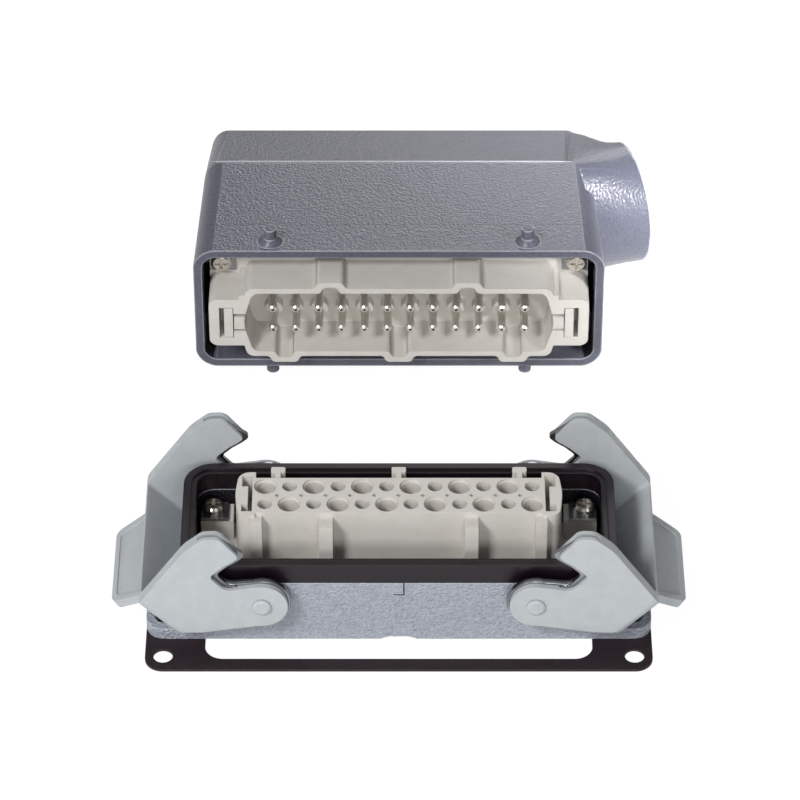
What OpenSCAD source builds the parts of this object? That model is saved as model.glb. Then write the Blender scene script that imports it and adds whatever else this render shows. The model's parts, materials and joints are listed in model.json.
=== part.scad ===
// Heavy duty rectangular connector: an angled-entry hood with a pin insert, and a
// bulkhead housing with a socket insert and two locking levers, shown unmated.
// The housing stands on the panel plane, z = 0. The hood lies on its pegs behind it.

/* [Shell] */
// Length of the hood and housing walls
shell_l = 120; // [117:0.5:124]
// Width of the hood and housing walls
shell_w = 43; // [42.5:0.5:46]
// Corner radius of the hood and housing walls
shell_r = 8.5; // [7:0.5:10]
// Wall thickness of the housing
housing_wall = 3.4; // [3:0.1:3.6]
// Height of the cast housing wall above the panel
housing_h = 20.8; // [20:0.2:23]
// Thickness of the mounting flange
flange_t = 3.6; // [3:0.1:3.7]
// Corner radius of the flange and its gasket
flange_r = 5; // [3:0.5:6]
// Hole distance along the flange
hole_pitch_x = 130; // [128:0.5:131]
// Hole distance across the flange
hole_pitch_y = 32; // [29:0.5:33]
// Diameter of the mounting holes
hole_d = 5.4; // [4.5:0.1:6]

/* [Seal and gasket] */
// Height of the rubber seal above the housing wall
seal_h = 6.4; // [5:0.2:7]
// Width of the seal band
seal_w = 3.6; // [3.4:0.1:4]
// Thickness of the flange gasket
gasket_t = 0.8; // [0.8:0.1:2]
// Distance the loose gasket lies forward of the flange
gasket_shift = 12.4; // [10:0.2:16]

/* [Levers] */
// Height of the lever pivots above the panel
pivot_z = 16.8; // [15:0.1:17]
// Diameter of the pivot pin shaft
pivot_d = 4.2; // [4:0.1:5]
// Thickness of a lever side plate
plate_t = 3.6; // [3.2:0.1:4.2]
// Thickness of the steel hook inside a side plate
hook_t = 1.2; // [0.8:0.1:1.4]
// Gap between the housing wall and a side plate
plate_gap = 1.7; // [1.4:0.1:3]
// Angle that a lever turns from open to locked
close_angle = 43; // [40:1:45]
// Thickness of the web that joins the side plates
web_t = 2; // [1.6:0.1:2.4]
// Length of the finger tab
tab_l = 13.4; // [10:0.2:16]
// Width of the finger tab at its root
tab_w = 36; // [30:1:40]

/* [Hood] */
// Height of the hood from its rim to the ridge line
ridge_h = 46; // [44:1:52]
// Height of the hood from its rim to the roof
hood_h = 73.8; // [68:0.2:76]
// Wall thickness of the hood
hood_wall = 2.5; // [2:0.1:2.8]
// Thickness of the hood across its roof
roof_w = 23; // [20:0.5:28]
// Diameter of the cable entry boss
boss_d = 36.4; // [34:0.2:38]
// Distance of the boss end face from the hood centre
boss_x = 70; // [68:0.1:74]
// Height of the boss end face centre above the hood rim
boss_h = 52.6; // [50:0.2:54]
// Diameter of the cable entry bore
entry_d = 28.6; // [26:0.2:30]
// Upward tilt of the cable entry
entry_tilt = 19; // [14:1:22]
// Diameter of a locking peg
peg_d = 3.7; // [3.4:0.1:4]
// Length of a locking peg
peg_l = 4.9; // [4.6:0.1:6]
// Height of the pegs above the hood rim
peg_rise = 4.6; // [4.4:0.1:5.4]
// Distance of the lying hood's rim behind the housing centre
hood_y = 93; // [80:1:110]

/* [Inserts] */
// Number of contact columns
columns = 12; // [8:1:12]
// Distance between contact columns
pitch = 6.7; // [6.2:0.1:6.8]
// Distance between the two contact rows
row_pitch = 7.4; // [7:0.1:7.8]
// Diameter of a contact pin
pin_d = 2.4; // [2:0.1:2.6]
// Width of the socket plug body
plug_w = 14.6; // [13.4:0.2:15]
// Height of the socket plug above the panel
plug_top = 34; // [33:0.5:35]
// Outer width of the pin insert shroud
shroud_w = 25; // [25:0.2:26]
// Wall thickness of the pin insert shroud
shroud_t = 1.7; // [1.4:0.1:2]
// Distance the shroud stands out of the hood rim
shroud_out = 6.5; // [5:0.5:8]
// Depth of the shroud in front of the contact floor
shroud_deep = 14.4; // [13:0.2:15]

/* [Fits] */
// Radial clearance of the lever pivots
running_fit = 0.06; // [0.03:0.01:0.09]
// Clearance of pieces that are pressed or seated
seat_fit = 0.04; // [0.02:0.01:0.1]
// Side gap between a steel hook and its slot
slot_fit = 0.05; // [0.03:0.01:0.1]
// Gap between the locked lever web and the shell end
web_gap = 0.5; // [0.4:0.1:1]
// Squeeze of the seal when the levers are locked
seal_squeeze = 0.6; // [0.4:0.1:1]
// Gap between the socket plug and the pin shroud
mate_gap = 0.5; // [0.4:0.1:0.8]

/* [Hidden] */
$fn = 48;
eps = 0.01;
over = 1;

die_cast = [0.47, 0.48, 0.53];
housing_paint = [0.66, 0.68, 0.72];
lever_plastic = [0.74, 0.77, 0.79];
insert_plastic = [0.78, 0.77, 0.73];
rubber_black = [0.11, 0.08, 0.1];
steel = [0.5, 0.48, 0.47];
silver = [0.83, 0.82, 0.79];

// Flange and insert sizes that follow from the shell
flange_l = hole_pitch_x + 10;
window_l = shell_l - 13;
window_w = shell_w - 8.6;
frame_l = shell_l - 9;
frame_w = shell_w - 9;
screw_x = frame_l - 7;
screw_y = frame_w - 7;
arc_notch_r = 11.4;
arc_notch_h = 1.2;

// Seal and lever geometry that follows from the driving sizes
seal_top = housing_h + seal_h;
tongue_t = 1.2;
tongue_h = 3;
seal_step = 0.6;
seal_tab = [3.2, 1.5, 4.6];
hook_reach = seal_top - seal_squeeze + peg_rise - pivot_z;
pivot_x = shell_l / 2 - 22.5;
peg_x = pivot_x;
web_in = shell_l / 2 - pivot_x + web_gap;
web_out = web_in + web_t;
web_low = 9.2;
plate_in = shell_w / 2 + plate_gap;
plate_out = plate_in + plate_t;
lever_r = 7.2;
lever_corner_r = 3;
lever_inner_r = 1.2;
throat_x = -1.8;
hook_ceiling = hook_reach + peg_d / 2;
lever_top = hook_ceiling + 12.6;
hook_trim = 1.3;
steel_inset = 1.7;
collar_r = lever_r + 0.3;
tab_z = 16.4;
tab_t = 2.4;
tab_tilt = 11.5;
tab_taper = 3.5;
tab_rim = [1.5, 0.5];
pivot_hole_d = pivot_d + 2 * running_fit;
pivot_head = [5.2, 0.8];
pivot_boss_d = 11;
pivot_boss_gap = 0.3;
pivot_depth = 2.4;

// Insert geometry shared by both halves
frame_t = 3;
socket_frame_z = 6;
tower_h = 7;
tower = [9.2, 7];
block_w = frame_w - 6;
block_l = screw_x - 8;
socket_foot_z = 0.8;
boss_base_z = 1.2;
contact_floor = shroud_deep - shroud_out;
pin_frame_z = contact_floor - 0.7;
pin_block_h = 19;
pin_tip_gap = 1.4;
plug_l = pitch * (columns - 1) + 5.5;
end_wall = 5.6;
end_reach = [1, 2.4];
plug_half = plug_l / 2 + end_wall;
rib_x = 20;
rib_w = 3.8;
rear_rib_x = 33.5;
rib_reach = 5;
socket_hole_d = 4.1;
large_hole_d = 5.5;
large_rim_d = 6.3;
collar_gap = 0.15;
collar_h = 3;
contact_sink = 8;
contact_d = socket_hole_d - 2 * seat_fit;
ground_t = 0.8;
ground_size = [8.6, 7.6];
lug_gap = 0.3;
screw_head = [6, 2.4];
screw_d = 3.6;
screw_hole_d = screw_d + 2 * seat_fit;
screw_l = 13;
slot_w = 0.9;
slot_deep = 1.1;
ear_w = 17;
ear_in = plug_half + mate_gap + shroud_t - 1.2;
ear_slot_x = 2.3;
ear_bar = [2.6, 10.6];
ear_slot_gap = 0.2;

// Hood geometry
side_draft = 2;
end_draft = 2.3;
hood_rest_z = shell_w / 2 + peg_l - gasket_t;
roof_slope_x = 48;
roof_slope = 19;
boss_start = 26;
boss_land = 1.6;
ridge_r = 0.6;
ridge_bevel = 0.8;
roof_r = 2;
hood_r = 7;

// Unit vector along v
function unit(v) = v / norm(v);

// Points of an arc of radius r that rounds the corner b between a and c
function corner(a, b, c, r, n = 5) =
    let (u = unit(a - b), v = unit(c - b), half = acos(u * v) / 2,
         centre = b + unit(u + v) * r / sin(half),
         from = b + u * r / tan(half) - centre,
         to = b + v * r / tan(half) - centre,
         start = atan2(from.y, from.x),
         turn = atan2(from.x * to.y - from.y * to.x, from * to))
    [for (i = [0:n]) centre + r * [cos(start + turn * i / n), sin(start + turn * i / n)]];

// Closed outline through points [x, y, radius]; radius 0 keeps a corner sharp
function outline(p) =
    [for (i = [0:len(p) - 1])
        let (a = p[(i + len(p) - 1) % len(p)], b = p[i], c = p[(i + 1) % len(p)])
        each b.z == 0 ? [[b.x, b.y]] : corner([a.x, a.y], [b.x, b.y], [c.x, c.y], b.z)];

module rounded_rect(l, w, r) {
    square([l - 2 * r, w], center = true);
    square([l, w - 2 * r], center = true);
    for (x = [-1, 1], y = [-1, 1]) translate([x * (l / 2 - r), y * (w / 2 - r)]) circle(r);
}

module slab(l, w, r, h) {
    linear_extrude(h) rounded_rect(l, w, r);
}

// Places children at the four corners of a screw rectangle
module at_corners(l, w) {
    for (x = [-1, 1], y = [-1, 1]) translate([x * l / 2, y * w / 2, 0]) children();
}

// Extrudes an x-z outline along y, between y0 and y1
module side_profile(y0, y1) {
    translate([0, y1, 0]) rotate([90, 0, 0]) linear_extrude(y1 - y0) children();
}

// Stands the hood frame, rim down at z = 0, on its side with the rim facing forward
module lying_hood() {
    translate([0, hood_y, hood_rest_z]) rotate([-90, 0, 0]) children();
}

// --- Housing ---

module flange_gasket() {
    color(rubber_black) translate([0, -gasket_shift, -gasket_t]) difference() {
        slab(flange_l, shell_w, flange_r, gasket_t);
        translate([0, 0, -over]) slab(window_l, window_w, flange_r, gasket_t + 2 * over);
        at_corners(hole_pitch_x, hole_pitch_y)
            translate([0, 0, -over]) cylinder(d = hole_d, h = gasket_t + 2 * over);
    }
}

cavity_l = shell_l - 2 * housing_wall;
cavity_w = shell_w - 2 * housing_wall;
cavity_r = shell_r - housing_wall;

// Ring between two insets of the shell outline
module shell_ring(outer_inset, inner_inset, h) {
    difference() {
        slab(shell_l - 2 * outer_inset, shell_w - 2 * outer_inset, shell_r - outer_inset, h);
        translate([0, 0, -over])
            slab(shell_l - 2 * inner_inset, shell_w - 2 * inner_inset, shell_r - inner_inset, h + 2 * over);
    }
}

module tongue_ring(gap, h) {
    middle = housing_wall / 2;
    shell_ring(middle - tongue_t / 2 - gap, middle + tongue_t / 2 + gap, h);
}

// Lugs in the shell corners that an insert is screwed to, from z = low up
module corner_lugs(low, h) {
    inner = [block_l / 2 + lug_gap, screw_y / 2 - 4.2];
    for (x = [-1, 1], y = [-1, 1]) scale([x, y, 1])
        translate([inner.x, inner.y, low]) cube([shell_l / 2 - inner.x, shell_w / 2 - inner.y, h]);
}

module housing_body() {
    color(housing_paint) difference() {
        union() {
            slab(flange_l, shell_w, flange_r, flange_t);
            slab(shell_l, shell_w, shell_r, housing_h);
            translate([0, 0, housing_h - eps]) tongue_ring(0, tongue_h + eps);
            for (x = [-1, 1]) side_profile(pivot_boss_gap - plate_in, plate_in - pivot_boss_gap) intersection() {
                translate([x * pivot_x, pivot_z]) circle(d = pivot_boss_d);
                translate([-shell_l / 2, 0]) square([shell_l, housing_h]);
            }
        }
        difference() {
            translate([0, 0, -over]) slab(cavity_l, cavity_w, cavity_r, housing_h + tongue_h + 2 * over);
            corner_lugs(boss_base_z, socket_frame_z - boss_base_z);
        }
        at_corners(screw_x, screw_y) cylinder(d = screw_hole_d, h = socket_frame_z + over);
        at_corners(hole_pitch_x, hole_pitch_y)
            translate([0, 0, -over]) cylinder(d = hole_d, h = flange_t + 2 * over);
        for (x = [-1, 1], y = [-1, 1]) translate([x * pivot_x, y * (shell_w / 2 - pivot_depth), pivot_z])
            rotate([-y * 90, 0, 0]) cylinder(d = pivot_d + 2 * seat_fit, h = 20);
        for (y = [-1, 1]) translate([0, y * shell_w / 2, arc_notch_h - arc_notch_r])
            rotate([90, 0, 0]) cylinder(r = arc_notch_r, h = 2, center = true);
        translate([-seal_tab.x / 2, -shell_w / 2 - over, housing_h - seal_tab.z])
            cube([seal_tab.x, seal_tab.y + over, seal_tab.z + over]);
    }
}

module housing_seal() {
    color(rubber_black) {
        translate([0, 0, housing_h]) difference() {
            shell_ring(0, seal_w, seal_h);
            translate([0, 0, -over]) tongue_ring(seat_fit, tongue_h + seat_fit + over);
            translate([0, 0, seal_h - seal_step]) shell_ring(seal_w * 0.6, seal_w + over, seal_step + over);
        }
        translate([-seal_tab.x / 2 + seat_fit, -shell_w / 2, housing_h - seal_tab.z + seat_fit])
            cube([seal_tab.x - 2 * seat_fit, seal_tab.y - seat_fit, seal_tab.z]);
    }
}

module lever_pivot_pins() {
    color(steel) for (x = [-1, 1], y = [-1, 1])
        translate([x * pivot_x, y * (shell_w / 2 - pivot_depth), pivot_z]) rotate([-y * 90, 0, 0]) {
            reach = plate_out - shell_w / 2 + pivot_depth + 0.1;
            cylinder(d = pivot_d, h = reach);
            translate([0, 0, reach - eps]) cylinder(d = pivot_head.x, h = pivot_head.y * 0.6);
            translate([0, 0, reach + pivot_head.y * 0.6 - 2 * eps])
                cylinder(d1 = pivot_head.x, d2 = pivot_head.x - 1.2, h = pivot_head.y * 0.4);
        }
}

// --- Levers ---
// A lever is drawn locked, about its own pivot, with the middle of the connector on
// its +x side. Its hook closes over a peg that stands hook_reach above the pivot.

// Hook and throat edge, cut back by trim where the moulding bares the steel
function hook_edge(trim) = [
    [9.2 - trim, hook_ceiling - 0.5 + trim, 1.2],
    [6, hook_ceiling - 0.5 + trim, 1.5],
    [2.6, hook_ceiling + trim, 2],
    [throat_x - trim, hook_ceiling + trim, 1.5],
    [throat_x - 0.2 - trim, 10.8, 3.5]];

// Round end about the pivot, from the throat round to the lower edge
function pivot_end(r) = [for (turn = [64:-12:-140]) [r * cos(turn), r * sin(turn), 0]];

module moulded_outline() {
    polygon(outline(concat(
        [[-web_out, lever_top - 5.3, 2.5], [-1.5, lever_top, 12],
         [5.2, lever_top - 0.3, 3], [8.6, lever_top - 3.2, 3]],
        hook_edge(hook_trim),
        pivot_end(lever_r),
        [[-web_out + 6.4, 4.2, 7], [-web_out + 0.6, 9.4, 2.5]])));
}

module steel_outline() {
    top = lever_top - steel_inset;
    back = 7.5 - web_out;
    polygon(outline(concat(
        [[back, top - 4.6, 2], [-1.5, top, 10], [4.6, top - 0.3, 3], [7.6, top - 2.6, 2.5]],
        hook_edge(0),
        pivot_end(lever_r - steel_inset),
        [[back, 8.2, 3]])));
}

// U-shaped plan of the plates and web, with rounded outer corners
module lever_plan() {
    reach = 30;
    difference() {
        translate([-web_out, -plate_out]) rounded_end(web_out + reach, 2 * plate_out, lever_corner_r);
        translate([-web_in, -plate_in])
            rounded_end(web_in + reach + over, 2 * plate_in, lever_inner_r);
    }
}

// Rectangle from the origin with its two corners on x = 0 rounded
module rounded_end(l, w, r) {
    translate([r, 0]) square([l - r, w]);
    translate([0, r]) square([r + eps, w - 2 * r]);
    for (y = [r, w - r]) translate([r, y]) circle(r);
}

module finger_tab() {
    translate([-web_out + 0.4, 0, tab_z]) rotate([0, tab_tilt, 0]) difference() {
        linear_extrude(tab_t + tab_rim.y) tab_plan(0);
        translate([0, 0, tab_t]) linear_extrude(tab_rim.y + over) tab_plan(tab_rim.x);
    }
}

module tab_plan(inset) {
    half = tab_w / 2 - inset;
    end = half - tab_taper;
    polygon(outline([[0, half, 0], [-tab_l + inset, end, 2.5], [-tab_l + inset, -end, 2.5], [0, -half, 0]]));
}

module steel_blank(y, grow) {
    side_profile(y - hook_t / 2 - grow, y + hook_t / 2 + grow) steel_outline();
}

module lever_body_locked() {
    hook_y = plate_in + plate_t / 2;
    difference() {
        union() {
            intersection() {
                side_profile(-plate_out, plate_out) moulded_outline();
                translate([0, 0, -15]) linear_extrude(60) lever_plan();
            }
            finger_tab();
        }
        translate([-web_out - over, -plate_in, -15]) cube([web_t + 2 * over + 6, 2 * plate_in, 15 + web_low]);
        for (y = [-1, 1]) {
            steel_blank(y * hook_y, slot_fit);
            translate([0, y * hook_y, 0]) front_slot();
        }
        rotate([90, 0, 0]) cylinder(r = collar_r + slot_fit, h = 2 * (hook_y + slot_fit), center = true);
        rotate([90, 0, 0]) cylinder(d = pivot_hole_d, h = 2 * plate_out + 2, center = true);
    }
}

// Opening round the steel, along the front edge of the hook
module front_slot() {
    side_profile(-hook_t / 2 - slot_fit, hook_t / 2 + slot_fit)
        translate([3.4, hook_ceiling]) square([8, lever_top - hook_ceiling + over]);
}

// Steel hook; face is the side, -1 in front or 1 behind. Its collar thickens the round end
module hook_locked(face) {
    y = face * (plate_in + plate_t / 2);
    difference() {
        union() {
            steel_blank(y, 0);
            translate([0, y, 0]) rotate([face * 90, 0, 0]) cylinder(r = collar_r, h = plate_t / 2);
        }
        translate([0, y, 0]) rotate([90, 0, 0]) cylinder(d = pivot_hole_d, h = 2 * plate_t, center = true);
    }
}

// Turns a locked lever open and sets it on its pivot; side is -1 left, 1 right
module open_lever(side) {
    mirror([side > 0 ? 1 : 0, 0, 0]) translate([-pivot_x, 0, pivot_z]) rotate([0, -close_angle, 0]) children();
}

module lever_body(side) {
    color(lever_plastic) open_lever(side) lever_body_locked();
}

module lever_hook(side, face) {
    color(steel) open_lever(side) hook_locked(face);
}

// --- Inserts ---

function column_x(i) = (i - (columns - 1) / 2) * pitch;

// Large sockets alternate with small ones, like the squares of a chessboard
function is_large(i, row) = (i + (row > 0 ? 0 : 1)) % 2 == 0;

// Runs children at every contact; row is -1 in front, 1 behind
module at_contacts(large = undef) {
    for (i = [0:columns - 1], row = [-1, 1])
        if (is_undef(large) || is_large(i, row) == large)
            translate([column_x(i), row * row_pitch / 2, 0]) children();
}

// Small screw with a cross recess, head up, seat at z = 0
module cross_screw(head, d, l) {
    difference() {
        union() {
            translate([0, 0, -l]) cylinder(d = d, h = l + eps);
            cylinder(d = head.x, h = head.y * 0.7);
            translate([0, 0, head.y * 0.7 - eps]) cylinder(d1 = head.x, d2 = head.x - 1.4, h = head.y * 0.3);
        }
        for (turn = [0, 90]) rotate(turn)
            translate([-head.x * 0.32, -slot_w / 2, head.y - slot_deep]) cube([head.x * 0.64, slot_w, slot_deep + over]);
    }
}

terminal_d = 3.4;

// Terminal screws sunk in the long sides of a terminal block, at height z
module terminal_screws(z) {
    for (i = [0:columns - 1], y = [-1, 1])
        translate([column_x(i), y * (block_w / 2 - 0.5), z]) rotate([-y * 90, 0, 0]) difference() {
            translate([0, 0, -3.4]) cylinder(d = terminal_d, h = 3.4);
            translate([-terminal_d, -slot_w / 2, -0.7]) cube([2 * terminal_d, slot_w, 1.4]);
        }
}

module terminal_bores(z) {
    for (i = [0:columns - 1], y = [-1, 1]) translate([column_x(i), y * (block_w / 2 + over), z])
        rotate([y * 90, 0, 0]) cylinder(d = terminal_d + 2 * seat_fit, h = 4 + over);
}

// Corner plate that earths an insert, under a fixing screw; it keeps within the frame
module ground_plate(side) {
    reach = [side * screw_x / 2, screw_y / 2];
    difference() {
        intersection() {
            translate([reach.x - ground_size.x / 2, reach.y - ground_size.y / 2, 0])
                cube([ground_size.x, ground_size.y, ground_t]);
            slab(frame_l - 2 * seat_fit, frame_w - 2 * seat_fit, 4, ground_t);
        }
        translate([reach.x, reach.y, -over]) cylinder(d = screw_hole_d, h = ground_t + 2 * over);
    }
}

socket_seat_z = socket_frame_z + frame_t + tower_h;

module plug_outline() {
    square([plug_l, plug_w], center = true);
    for (x = [-1, 1]) scale([x, 1])
        translate([plug_l / 2 - eps, -plug_w / 2 - end_reach[0]])
            end_cap(end_wall + eps, plug_w + end_reach[0] + end_reach[1]);
}

module end_cap(l, w) {
    polygon(outline([[0, 0, 0], [l - 1, 0, 2.4], [l, w / 2, 24], [l - 1, w, 3.4], [0, w, 0]]));
}

module socket_insert_body() {
    color(insert_plastic) difference() {
        union() {
            translate([0, 0, socket_frame_z]) slab(frame_l, frame_w, 3, frame_t);
            intersection() {
                translate([0, 0, socket_frame_z]) slab(frame_l, frame_w, 3, frame_t + tower_h);
                for (x = [-1, 1], y = [-1, 1]) scale([x, y, 1])
                    translate([frame_l / 2 - tower.x, frame_w / 2 - tower.y, socket_frame_z])
                        cube([tower.x, tower.y, frame_t + tower_h]);
            }
            translate([0, 0, socket_foot_z]) slab(block_l, block_w, 1.5, socket_frame_z - socket_foot_z + eps);
            translate([0, 0, socket_frame_z]) linear_extrude(plug_top - socket_frame_z) plug_outline();
            front_ribs();
            rear_ribs();
        }
        at_contacts() translate([0, 0, -over]) cylinder(d = socket_hole_d, h = plug_top + 2 * over);
        at_contacts(true) translate([0, 0, plug_top - contact_sink + 2]) cylinder(d = large_hole_d, h = contact_sink);
        at_contacts(true) translate([0, 0, plug_top - 0.8]) cylinder(d = large_rim_d, h = over + 0.8);
        for (i = [1:columns - 1]) translate([column_x(i) - pitch / 2, 0, plug_top - 2])
            rotate(45) translate([-0.5, -0.5, 0]) cube([1, 1, 3]);
        for (x = [-1, 1]) scale([x, 1, 1]) end_pocket();
        terminal_bores(3.2);
        at_corners(screw_x, screw_y)
            translate([0, 0, socket_frame_z - over]) cylinder(d = screw_hole_d, h = frame_t + tower_h + 2 * over);
    }
}

// Pocket at each end of the plug, round the block that keys into the shroud
module end_pocket() {
    deep = 9;
    translate([plug_l / 2 + 0.8, 0, plug_top - deep]) difference() {
        translate([0, -plug_w / 2 + 0.6, 0]) cube([2.9, plug_w + 0.4, deep + over]);
        translate([1.2, -3.7, -over]) cube([4, 7.4, deep + 3 * over]);
    }
}

module front_ribs() {
    base = socket_frame_z + eps;
    for (x = [-rib_x, rib_x]) translate([x - rib_w / 2, -plug_w / 2 - rib_reach, base])
        cube([rib_w, rib_reach + eps, plug_top - base - 1.6]);
    for (x = [-1, 1]) translate([x * (plug_l / 2 - 0.4) - 1.6, -plug_w / 2 - 3, base])
        cube([3.2, 3 + eps, plug_top - base - 1.1]);
}

module rear_ribs() {
    base = socket_frame_z + eps;
    for (x = [-rear_rib_x, 0, rear_rib_x]) translate([x, plug_w / 2 - eps, base])
        linear_extrude(plug_top - base - 0.3) {
            translate([-0.75, 0]) square([1.5, rib_reach]);
            translate([0, rib_reach - 1.1]) rounded_rect(4, 2.2, 0.6);
        }
}

module socket_contacts() {
    color(silver) at_contacts() difference() {
        translate([0, 0, socket_foot_z + 6.5]) cylinder(d = contact_d, h = plug_top - contact_sink - socket_foot_z - 6.5);
        translate([0, 0, plug_top - contact_sink - 12]) cylinder(d = pin_d + 0.2, h = 12 + over);
    }
}

module socket_terminal_screws() {
    color(steel) terminal_screws(3.2);
}

// Fixing screws: the two behind stand on ground plates
module socket_fixing_screws() {
    color(steel) for (x = [-1, 1], y = [-1, 1])
        translate([x * screw_x / 2, y * screw_y / 2, socket_seat_z + (y > 0 ? ground_t : 0)])
            cross_screw(screw_head, screw_d, screw_l);
}

module socket_ground_plate(side) {
    color(steel) translate([0, 0, socket_seat_z]) ground_plate(side);
}

// --- Pin insert, drawn in the hood frame with its mating side down ---

shroud_half = plug_half + mate_gap + shroud_t;

// Shroud outline, grown or shrunk evenly: inset 0 is outside, shroud_t inside
module shroud_outline(inset) {
    w = shroud_w / 2 - inset;
    l = shroud_half - inset;
    polygon(outline([
        [-l + 3, -w, 2.6], [-l, 0, 14], [-l + 3, w, 2.6],
        [l - 3, w, 2.6], [l, 0, 14], [l - 3, -w, 2.6]]));
    for (x = [-rib_x, rib_x]) bump(x, -w, inset);
    for (x = [-rear_rib_x, 0, rear_rib_x]) bump(x, w, inset);
}

// Round-shouldered bulge of the shroud wall that clears one rib of the plug
module bump(x, y, inset) {
    out = 2.2;
    half = 4.7 - inset;
    dir = y < 0 ? -1 : 1;
    polygon(outline([
        [x - half - 2, y - dir * 1.2, 0], [x - half - 2, y, 1.6], [x - half + 0.6, y, 1.4],
        [x - half + 0.6, y + dir * out, 1.4], [x + half - 0.6, y + dir * out, 1.4],
        [x + half - 0.6, y, 1.4], [x + half + 2, y, 1.6], [x + half + 2, y - dir * 1.2, 0]]));
}

module pin_insert_body() {
    color(insert_plastic) lying_hood() difference() {
        union() {
            translate([0, 0, -shroud_out]) linear_extrude(pin_frame_z + shroud_out + eps) {
                shroud_outline(0);
                for (x = [-1, 1]) scale([x, 1]) ear_plan();
            }
            translate([0, 0, pin_frame_z]) slab(frame_l, frame_w, 3, frame_t);
            translate([0, 0, pin_frame_z + frame_t - eps]) slab(block_l, block_w, 1.5, pin_block_h);
        }
        difference() {
            translate([0, 0, -shroud_out - over]) linear_extrude(shroud_deep + over) shroud_outline(shroud_t);
            at_contacts(true) translate([0, 0, contact_floor - collar_h])
                cylinder(d = large_hole_d - 2 * collar_gap, h = collar_h + over);
            at_contacts(false) translate([0, 0, contact_floor - collar_h])
                cylinder(d = socket_hole_d - 2 * collar_gap, h = collar_h + over);
        }
        at_contacts() cylinder(d = pin_d + 2 * seat_fit, h = pin_frame_z + 14);
        at_contacts() translate([0, 0, pin_frame_z + frame_t + 6]) cylinder(d = socket_hole_d, h = pin_block_h);
        for (x = [-1, 1]) scale([x, 1, 1]) ear_pocket();
        terminal_bores(pin_frame_z + frame_t + 9);
        at_corners(screw_x, screw_y)
            translate([0, 0, pin_frame_z - over]) cylinder(d = screw_hole_d, h = frame_t + 2 * over);
    }
}

// Ear beside the shroud, with rounded outer corners
module ear_plan() {
    polygon(outline([
        [ear_in - 3, -ear_w / 2, 0], [frame_l / 2, -ear_w / 2, 2.6],
        [frame_l / 2, ear_w / 2, 2.6], [ear_in - 3, ear_w / 2, 0]]));
    translate([ear_in - 4, -ear_w / 2 - 1.6]) square([4.4, 3]);
}

// T-shaped pocket in the ear round a T-shaped key
module ear_pocket() {
    deep = 8;
    translate([0, 0, -shroud_out - over]) difference() {
        linear_extrude(deep + over) {
            translate([ear_in + ear_slot_x - ear_slot_gap, -ear_bar.y / 2 - ear_slot_gap])
                square([ear_bar.x + 1.2 + 2 * ear_slot_gap, ear_bar.y + 2 * ear_slot_gap]);
            translate([ear_in - 1.4, -3.2]) square([4, 6.4]);
        }
        linear_extrude(deep + 2 * over) {
            translate([ear_in + ear_slot_x, -ear_bar.y / 2]) square(ear_bar);
            translate([ear_in - 2, -2]) square([4, 4.4]);
        }
    }
}

module contact_pins() {
    tip_r = 0.5;
    color(silver) lying_hood() at_contacts() {
        translate([0, 0, pin_tip_gap - shroud_out]) {
            cylinder(d1 = pin_d - 2 * tip_r, d2 = pin_d, h = tip_r);
            translate([0, 0, tip_r - eps])
                cylinder(d = pin_d, h = pin_frame_z + 13 + shroud_out - pin_tip_gap - tip_r);
        }
    }
}

module pin_terminal_screws() {
    color(steel) lying_hood() terminal_screws(pin_frame_z + frame_t + 9);
}

// Screws enter from the mating side; the upper pair stands on ground plates
module pin_fixing_screws() {
    color(steel) lying_hood() for (x = [-1, 1], y = [-1, 1])
        translate([x * screw_x / 2, y * screw_y / 2, pin_frame_z - (y < 0 ? ground_t : 0)])
            mirror([0, 0, 1]) cross_screw(screw_head, screw_d, screw_l - 2);
}

module pin_ground_plate(side) {
    color(steel) lying_hood() translate([0, 0, pin_frame_z]) rotate([180, 0, 0]) ground_plate(side);
}

// --- Hood ---

// Drafted hood form; inset shrinks its walls for the wiring chamber
module hood_form(inset) {
    foot = inset > 0 ? -over : 0;
    top = hood_h - inset;
    rim = [shell_l / 2 - inset, shell_w / 2 - inset];
    ridge = [rim.x - ridge_h * tan(end_draft), rim.y - ridge_h * tan(side_draft)];
    roof = [rim.x - hood_h * tan(end_draft), roof_w / 2 - inset];
    brow = [rim.x - 3, top - (rim.x - 3 - roof_slope_x) * tan(roof_slope)];
    lean = atan((ridge.y - roof.y) / (top - ridge_h));
    r = hood_r - inset;
    difference() {
        intersection() {
            rotate([90, 0, 90]) linear_extrude(2 * shell_l, center = true) polygon(outline([
                [-rim.y, foot, 0], [rim.y, foot, 0],
                [ridge.y, ridge_h - ridge_bevel, ridge_r], [ridge.y - ridge_bevel, ridge_h, ridge_r],
                [roof.y, top, roof_r], [-roof.y, top, roof_r],
                [ridge_bevel - ridge.y, ridge_h, ridge_r], [-ridge.y, ridge_h - ridge_bevel, ridge_r]]));
            side_profile(-shell_w, shell_w) polygon(outline([
                [-rim.x, foot, 0], [rim.x, foot, 0], [brow.x, brow.y, roof_r],
                [roof_slope_x, top, 4], [-roof.x, top, roof_r]]));
        }
        for (x = [-1, 1], y = [-1, 1]) mirror([x < 0 ? 1 : 0, 0, 0]) mirror([0, y < 0 ? 1 : 0, 0]) {
            edge_round([rim.x, rim.y, 0], [end_draft, side_draft], r);
            edge_round([ridge.x, ridge.y, ridge_h], [end_draft, lean], r);
        }
    }
}

// Cuts the edge that two leaning planes share round; they lean in by the two angles
module edge_round(at, lean, r) {
    bite = 0.08;
    spare = 0.12 * r;
    reach = hood_h + 10;
    translate([at.x - (r - bite) / cos(lean.x), at.y - (r - bite) / cos(lean.y), at.z])
        rotate([atan(tan(lean.y) * cos(lean.x)), -lean.x, 0])
            linear_extrude(2 * reach, center = true) difference() {
                translate([-spare, -spare]) square(3 * r);
                circle(r);
            }
}

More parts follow.
